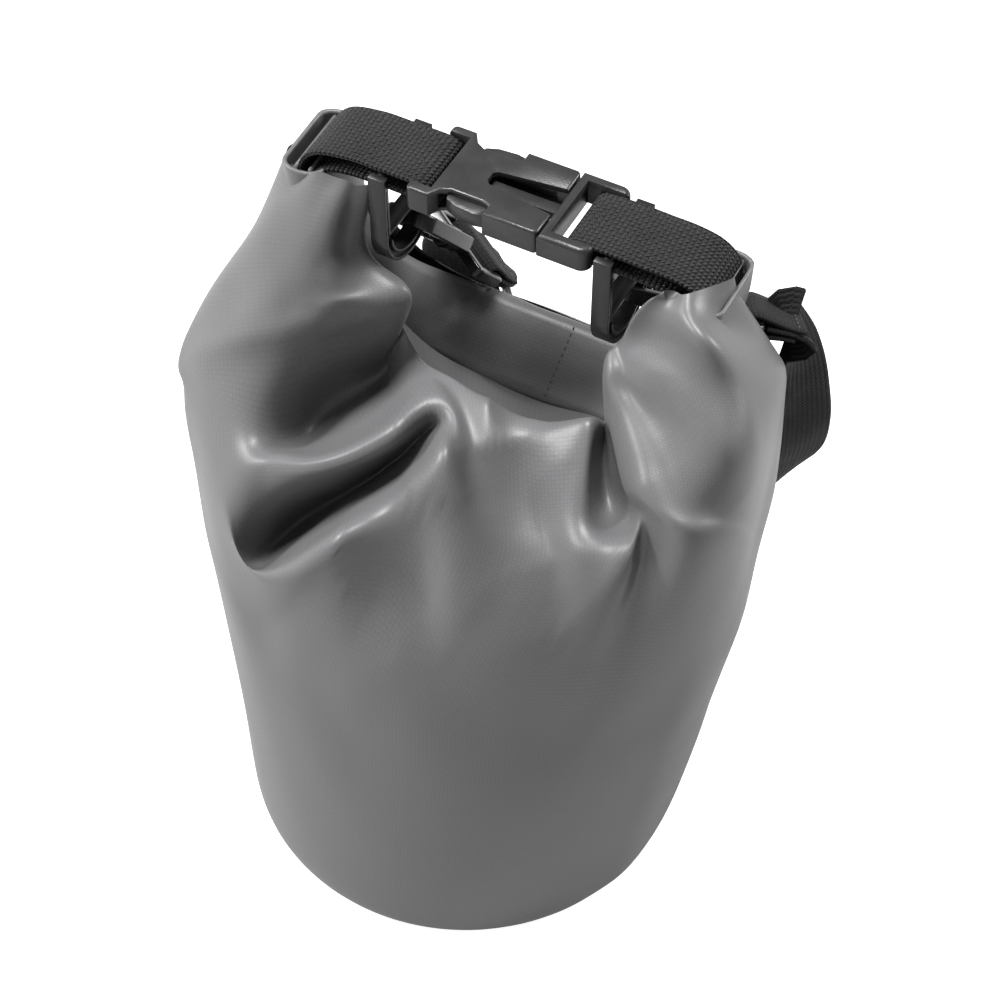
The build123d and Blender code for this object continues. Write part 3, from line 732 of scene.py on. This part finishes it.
shoulderStrap = {
    "width": 25.0, "thickness": 1.6, "lead": 9.0,
    "route": [  # x, y, z and the across direction
        (93.5, 55, 247, -.25, .92, -.34), (95, 58, 233, .15, .95, -.25), (95.5, 63, 211, .6, .77, -.15),
        (95.5, 71, 184, .76, .64, -.05), (92, 82, 153, .66, .75, 0), (84, 94, 121, .3, .95, .1),
        (67, 103, 95, 0, 1, .08), (40, 107.5, 80, 0, 1, 0), (11, 108.5, 75, 0, 1, 0), (-15, 108, 80.5, .1, .99, 0),
        (-33.5, 106, 95, .35, .93, .1), (-45, 101, 118, .8, .6, 0), (-48, 95.5, 148, .8, .6, 0),
        (-51, 90, 178, .8, .6, 0), (-47.5, 82.5, 197, .9, .42, -.05), (-37.5, 75.5, 209, .95, .1, -.2),
        (-27, 69, 214.5, .9, -.3, -.2)],
    "frameEnd": 41.5, "frameBar": 3.4, "frameThickness": 4.2, "gap": 0.3,
}
hookPlanes = {  # seat, pull, flat face, turn of the swivel frame in degrees
    "left": ((-33, 30.2, 259.1), (0.22, 0.60, -0.77), (0, 0.79, 0.61), 30),
    "right": ((46.5, 33.5, 262.3), (0.91, 0.36, -0.208), (0, 0.5, 0.866), 0),
}


def hookAxes(name):
    seat, pull, flat, turn = hookPlanes[name]
    up = unit(np.array(flat, float))
    along = np.array(pull, float)
    along = unit(along - up * (along @ up))
    across = np.cross(up, along)
    c, s = math.cos(math.radians(turn)), math.sin(math.radians(turn))
    return np.array(seat, float), along, across * c + up * s, up * c - across * s


def strapEnd(name, way):
    seat, along, across, _ = hookAxes(name)
    start = shoulderStrap["frameEnd"] + shoulderStrap["gap"] + shoulderStrap["thickness"] - 0.2
    return [tuple(seat + along * (start + d)) + tuple(across * way) for d in (0, shoulderStrap["lead"])]


def makeStrap():
    rows = strapEnd("right", 1) + shoulderStrap["route"] + strapEnd("left", -1)[::-1]
    rows = smoothRoute(rows, 10)
    section = flatSection(shoulderStrap["width"] * milli, shoulderStrap["thickness"] * milli, 4)
    mesh = sweep("shoulder_strap_web", rows[:, :3] * milli, rows[:, 3:], section)
    piece = newObject("shoulder_strap_web", mesh)
    mesh.materials.append(strapWebbing)
    return piece


def makeStrapLoop(name):
    # wraps the swivel frame's outer bar, its short end lying back on the strap
    seat, along, across, up = hookAxes(name)
    look = shoulderStrap
    back = look["frameEnd"] - look["frameBar"] - look["gap"] - look["thickness"] / 2
    front = look["frameEnd"] + look["gap"] + look["thickness"] / 2
    high = look["frameThickness"] / 2 + look["gap"] + look["thickness"] / 2
    flat = [(front + 13, 1.7), (front + 8, 1.8), (front + 2.5, high * 0.8), (front - 1.5, high),
            (back + 1.6, high), (back + 0.2, high * 0.6), (back, 0), (back + 0.2, -high * 0.6), (back + 1.6, -high),
            (front - 1.5, -high), (front + 2.5, -high * 0.75), (front + 8, -1.7), (front + 10, -1.7)]
    rows = smoothRoute([(a, 0, b) for a, b in flat], 6)
    centres = np.array([seat + along * a + up * b for a, _, b in rows]) * milli
    sides = np.tile(across, (len(rows), 1))
    mesh = sweep("strap_end_" + name, centres, sides,
                 flatSection(look["width"] * milli, look["thickness"] * milli, 4))
    piece = newObject("strap_end_" + name, mesh)
    mesh.materials.append(strapWebbing)
    return piece


strapPiece = makeStrap()
strapEndPieces = {name: makeStrapLoop(name) for name in ("left", "right")}
print("shoulder strap made")

# stitches, laid along a line of points

strapStitches = {"length": 2.6, "spacing": 3.6, "radius": 0.28,
                 "rows": (4.5, 9.5), "start": 2.2, "lift": 2.55, "half": 9.5}
seamStitches = {"length": 1.5, "spacing": 2.3, "radius": 0.2, "inset": 0.003}


def stitchTree():
    tree = bpy.data.node_groups.new("stitchRow", "GeometryNodeTree")
    face = tree.interface
    face.new_socket("Line", in_out="INPUT", socket_type="NodeSocketGeometry")
    for label in ("Length", "Spacing", "Radius"):
        face.new_socket(label, in_out="INPUT", socket_type="NodeSocketFloat")
    face.new_socket("Thread", in_out="INPUT", socket_type="NodeSocketMaterial")
    face.new_socket("Stitches", in_out="OUTPUT", socket_type="NodeSocketGeometry")
    made = {}
    for label, kind in (("inside", "NodeGroupInput"), ("outside", "NodeGroupOutput"),
                        ("curve", "GeometryNodeMeshToCurve"), ("thread", "GeometryNodeMeshUVSphere"),
                        ("size", "GeometryNodeTransform"), ("stretch", "ShaderNodeCombineXYZ"),
                        ("place", "GeometryNodeInstanceOnPoints"),
                        ("turn", "FunctionNodeAlignRotationToVector"),
                        ("real", "GeometryNodeRealizeInstances"), ("paint", "GeometryNodeSetMaterial"),
                        ("smooth", "GeometryNodeSetShadeSmooth"), ("toPoints", "GeometryNodeCurveToPoints")):
        made[label] = tree.nodes.new(kind)
    made["toPoints"].mode = "LENGTH"
    made["thread"].inputs["Segments"].default_value = 8
    made["thread"].inputs["Rings"].default_value = 6
    made["thread"].inputs["Radius"].default_value = 1.0
    made["turn"].axis = "X"
    link = tree.links.new
    link(made["inside"].outputs["Line"], made["curve"].inputs["Mesh"])
    link(made["curve"].outputs["Curve"], made["toPoints"].inputs["Curve"])
    link(made["inside"].outputs["Spacing"], made["toPoints"].inputs["Length"])
    link(calc(tree, "MULTIPLY", made["inside"].outputs["Length"], 0.5), made["stretch"].inputs["X"])
    link(made["inside"].outputs["Radius"], made["stretch"].inputs["Y"])
    link(made["inside"].outputs["Radius"], made["stretch"].inputs["Z"])
    link(made["thread"].outputs["Mesh"], made["size"].inputs["Geometry"])
    link(made["stretch"].outputs[0], made["size"].inputs["Scale"])
    link(made["toPoints"].outputs["Points"], made["place"].inputs["Points"])
    link(made["size"].outputs["Geometry"], made["place"].inputs["Instance"])
    link(made["toPoints"].outputs["Tangent"], made["turn"].inputs["Vector"])
    link(made["turn"].outputs["Rotation"], made["place"].inputs["Rotation"])
    link(made["place"].outputs["Instances"], made["real"].inputs["Geometry"])
    link(made["real"].outputs["Geometry"], made["smooth"].inputs["Geometry"])
    link(made["smooth"].outputs["Geometry"], made["paint"].inputs["Geometry"])
    link(made["inside"].outputs["Thread"], made["paint"].inputs["Material"])
    link(made["paint"].outputs["Geometry"], made["outside"].inputs["Stitches"])
    return tree


stitches = stitchTree()


def sewn(name, lines, size):
    # lines are lists of points in metres, each sewn from end to end
    points, edges = [], []
    for line in lines:
        edges += [(len(points) + k, len(points) + k + 1) for k in range(len(line) - 1)]
        points += [tuple(p) for p in line]
    mesh = bpy.data.meshes.new(name)
    mesh.from_pydata(points, edges, [])
    made = newObject(name, mesh)
    row = made.modifiers.new("row", "NODES")
    row.node_group = stitches
    values = {"Length": size["length"] * milli, "Spacing": size["spacing"] * milli,
              "Radius": size["radius"] * milli, "Thread": darkThread}
    for socket in stitches.interface.items_tree:
        if socket.in_out == "INPUT" and socket.name in values:
            row[socket.identifier] = values[socket.name]
    return applied(made)


def bandSeam():
    # a row of stitches straight across the band's inner face
    centres, sides, _ = collarWays()
    raised = centres[:, 2] > 0.23  # the bent-up ends are no place for it
    k = int(np.argmin(np.abs(centres[:, 0] - collarBand["seamX"] * milli) + raised))
    along, across, out = axesAt(centres, sides, k)
    half = collarBand["width"] * milli / 2 - seamStitches["inset"]
    rise = collarBand["thickness"] * milli / 2
    face = out if out[2] > 0 else -out
    return [centres[k] + across * t + face * rise for t in np.linspace(-half, half, 12)]


def boxStitch(name):
    # two rows across each strap end, on both faces
    seat, along, across, up = hookAxes(name)
    look, lines = strapStitches, []
    for reach in look["rows"]:
        for way in (1, -1):
            at = seat + along * (shoulderStrap["frameEnd"] + look["start"] + reach) + up * way * look["lift"]
            lines.append([(at + across * t) * milli for t in np.linspace(-look["half"], look["half"], 8)])
    return lines


seamPiece = sewn("band_seam", [bandSeam()], seamStitches)
strapSewing = {name: sewn("strap_sewing_" + name, boxStitch(name), strapStitches)
               for name in ("left", "right")}
print("stitches made")

# what each piece moves with

stitchedTogether = {
    "bag_skin": ("coated_fabric", ["body_tube", "base_disc", "shoulder_left", "shoulder_right"]),
    "rolled_band": ("coated_fabric", ["rolled_collar", "collar_stiffener", "roll_end_left", "roll_end_right"]),
    "shoulder_strap_web": ("strap_webbing", ["shoulder_strap"]),
}
for piece in (bagSkinPiece, collarPiece, seamPiece):
    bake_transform(piece)
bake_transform(strapPiece)
for piece in (bagSkinPiece, collarPiece, strapPiece):
    slotName, nodes = stitchedTogether[piece.name]
    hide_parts(*nodes)
for name, body in (("left", "bag"), ("right", "plug")):
    for piece in (tabPieces[name], strapEndPieces[name], strapSewing[name]):
        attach(piece, body)
    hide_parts("webbing_" + name)
    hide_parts("strap_loop_" + name)
for piece, body in zip(layerPieces, ("bag", "plug")):
    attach(piece, body)

# the moulded parts keep their own shapes and get their finish

mouldedFinish = {
    "merge": 0.00002, "edge": 0.00045, "segments": 2, "angle": 38,
    "looks": [
        (bucklePlastic, ["buckle_socket", "buckle_plug_base", "buckle_arm_front", "buckle_arm_rear"]),
        (fittingPlastic, ["d_ring_left", "d_ring_right", "strap_slider"]),
        (hookPlastic, ["hook_left", "hook_right", "gate_left", "gate_right",
                       "swivel_frame_left", "swivel_frame_right"]),
        (pinSteel, ["gate_pin_left", "gate_pin_right"])],
}
for material, nodes in mouldedFinish["looks"]:
    for name in nodes:
        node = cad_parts[name]
        node.data.materials.clear()
        node.data.materials.append(material)
        weld = node.modifiers.new("weld", "WELD")
        weld.merge_threshold = mouldedFinish["merge"]
        soften = node.modifiers.new("soften", "BEVEL")
        soften.width = mouldedFinish["edge"]
        soften.segments = mouldedFinish["segments"]
        soften.limit_method = "ANGLE"
        soften.angle_limit = math.radians(mouldedFinish["angle"])
        soften.harden_normals = True
        node.data.polygons.foreach_set("use_smooth", [True] * len(node.data.polygons))
print("finishes set")

# floor, lights and camera

studio = {
    "azimuth": 28.0, "elevation": 51.0, "distance": 0.79, "lens": 80.0, "aim": (0.01148, 0.0061, 0.163),
    "floorSize": 6.0, "floorShade": 0.50, "floorLift": 0.95, "world": 0.19, "mirrored": 0.2,
    "lamps": [  # name, place, size, power
        ("overhead", (-0.30, -0.05, 1.45), 0.45, 24.0),
        ("leftSoft", (-1.15, -0.40, 0.80), 0.35, 15.0),
        ("rightSoft", (0.95, 0.80, 0.95), 0.45, 15.0),
        ("frontSoft", (0.2, -1.4, 0.45), 0.9, 0.5)],
}


def aimed(obj, place, target):
    obj.location = place
    obj.rotation_mode = "QUATERNION"
    obj.rotation_quaternion = (Vector(place) - Vector(target)).to_track_quat("Z", "Y")


def seenDirectly(tree):
    path = tree.nodes.new("ShaderNodeLightPath")
    glossy = calc(tree, "MULTIPLY", path.outputs["Is Glossy Ray"], studio["mirrored"])
    seen = calc(tree, "MAXIMUM", path.outputs["Is Camera Ray"], glossy)
    return calc(tree, "MAXIMUM", seen, path.outputs["Is Transmission Ray"])


def makeStudio():
    size = studio["floorSize"] / 2
    corners = [(-size, -size, 0), (size, -size, 0), (size, size, 0), (-size, size, 0)]
    floor = newObject("floor", meshFrom("floor", corners, [(0, 1, 2, 3)], smooth=False))
    white = bpy.data.materials.new("floorWhite")
    white.use_nodes = True
    tree = white.node_tree
    shader = tree.nodes["Principled BSDF"]
    shader.inputs["Base Color"].default_value = (*[studio["floorShade"]] * 3, 1)
    shader.inputs["Roughness"].default_value = 0.9
    shader.inputs["Specular IOR Level"].default_value = 0.0
    shader.inputs["Emission Color"].default_value = (1, 1, 1, 1)
    lift = calc(tree, "MULTIPLY", seenDirectly(tree), studio["floorLift"])
    tree.links.new(lift, shader.inputs["Emission Strength"])
    floor.data.materials.append(white)
    world = bpy.context.scene.world or bpy.data.worlds.new("studio")
    bpy.context.scene.world = world
    world.use_nodes = True
    tree = world.node_tree
    tree.nodes.clear()
    out = tree.nodes.new("ShaderNodeOutputWorld")
    back = tree.nodes.new("ShaderNodeBackground")
    seen = seenDirectly(tree)
    strength = calc(tree, "ADD", studio["world"], calc(tree, "MULTIPLY", seen, 1 - studio["world"]))
    tree.links.new(strength, back.inputs["Strength"])
    tree.links.new(back.outputs[0], out.inputs[0])
    back.inputs["Color"].default_value = (1, 1, 1, 1)
    for name, place, wide, power in studio["lamps"]:
        light = bpy.data.lights.new(name, "AREA")
        light.size, light.energy = wide, power
        aimed(newObject(name, light), place, studio["aim"])
    camera = bpy.data.cameras.new("camera")
    camera.lens = studio["lens"]
    a, e = math.radians(studio["azimuth"]), math.radians(studio["elevation"])
    away = Vector((math.sin(a) * math.cos(e), -math.cos(a) * math.cos(e), math.sin(e)))
    holder = newObject("camera", camera)
    aimed(holder, Vector(studio["aim"]) + away * studio["distance"], studio["aim"])
    bpy.context.scene.camera = holder


makeStudio()
bpy.context.scene.view_settings.view_transform = "Standard"
print("studio made")

bpy.context.view_layer.update()
